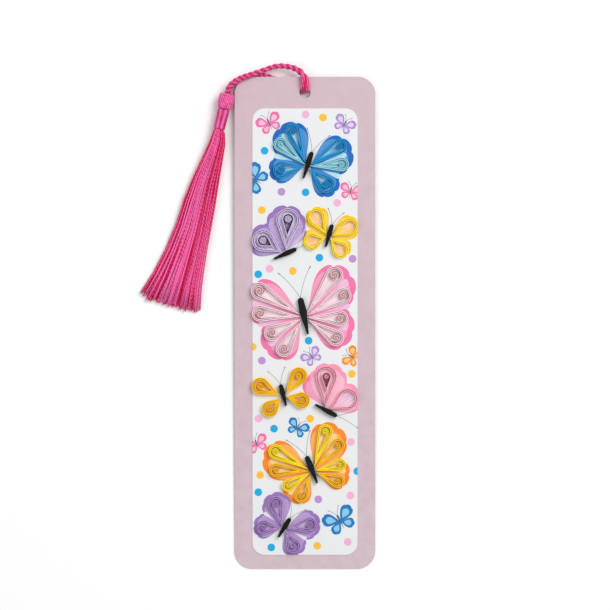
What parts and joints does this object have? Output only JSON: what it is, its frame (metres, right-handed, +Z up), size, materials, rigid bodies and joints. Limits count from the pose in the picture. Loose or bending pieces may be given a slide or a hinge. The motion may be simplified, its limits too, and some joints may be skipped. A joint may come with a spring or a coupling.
{
  "type": "bookmark with quilled paper butterflies",
  "caption": "Flat pearl card bookmark with a white art panel, butterflies of coiled paper strip glued on edge, and a corded tassel through a punched hole.",
  "frame": {"origin": "under the middle of the card, on the surface that the bookmark lies on", "axes": "+Y along the card towards its punched hole, +Z up from the surface, out of the printed front"},
  "size_m": [0.0855, 0.1828, 0.0059],
  "materials": {
    "pearl_card": "pearl coated card, faint mottle",
    "art_paper": "smooth white paper, printed",
    "black_strip": "folded black paper strip",
    "pink_strip": "pink paper strip on edge",
    "rose_strip": "deep pink paper strip on edge",
    "yellow_strip": "yellow paper strip on edge",
    "orange_strip": "orange paper strip on edge",
    "blue_strip": "blue paper strip on edge",
    "aqua_strip": "aqua paper strip on edge",
    "violet_strip": "violet paper strip on edge",
    "lilac_strip": "lilac paper strip on edge",
    "cord_rayon": "twisted rayon cord, silky",
    "tassel_rayon": "loose twisted rayon threads, silky"
  },
  "bodies": {
    "root": {"amber_body": "black_strip", "amber_left_fore": "orange_strip", "amber_left_hind": "orange_strip", "amber_right_fore": "orange_strip", "amber_right_hind": "orange_strip", "art_panel": "art_paper", "blush_body": "black_strip", "blush_fore_coil": "rose_strip", "blush_fore_loop": "rose_strip", "blush_hind_loop": "rose_strip", "card": "pearl_card", "cord": "cord_rayon", "lemon_body": "black_strip", "lemon_left_fore": "yellow_strip", "lemon_left_hind": "yellow_strip", "lemon_right_fore": "yellow_strip", "lemon_right_hind": "yellow_strip", "lilac_body": "black_strip", "lilac_fore_coil": "lilac_strip", "lilac_fore_loop": "lilac_strip", "lilac_hind_coil": "lilac_strip", "lilac_hind_loop": "lilac_strip", "marigold_body": "black_strip", "marigold_left_fore_low": "orange_strip", "marigold_left_fore_top": "yellow_strip", "marigold_left_hind_low": "orange_strip", "marigold_left_hind_top": "yellow_strip", "marigold_right_fore_low": "orange_strip", "marigold_right_fore_top": "yellow_strip", "marigold_right_hind_low": "orange_strip", "marigold_right_hind_top": "yellow_strip", "neck_binding": "tassel_rayon", "rose_body": "black_strip", "rose_left_fore_low": "pink_strip", "rose_left_fore_top": "pink_strip", "rose_left_hind_low": "pink_strip", "rose_left_hind_top": "pink_strip", "rose_right_fore_low": "pink_strip", "rose_right_fore_top": "pink_strip", "rose_right_hind_low": "pink_strip", "rose_right_hind_top": "pink_strip", "sky_body": "black_strip", "sky_left_fore_low": "aqua_strip", "sky_left_fore_top": "blue_strip", "sky_left_hind": "blue_strip", "sky_right_fore_low": "aqua_strip", "sky_right_fore_top": "blue_strip", "sky_right_hind": "blue_strip", "tassel_head": "tassel_rayon", "tassel_skirt": "tassel_rayon", "violet_body": "black_strip", "violet_left_fore": "violet_strip", "violet_left_hind": "violet_strip", "violet_right_fore": "violet_strip", "violet_right_hind": "violet_strip"}
  },
  "joints": []
}
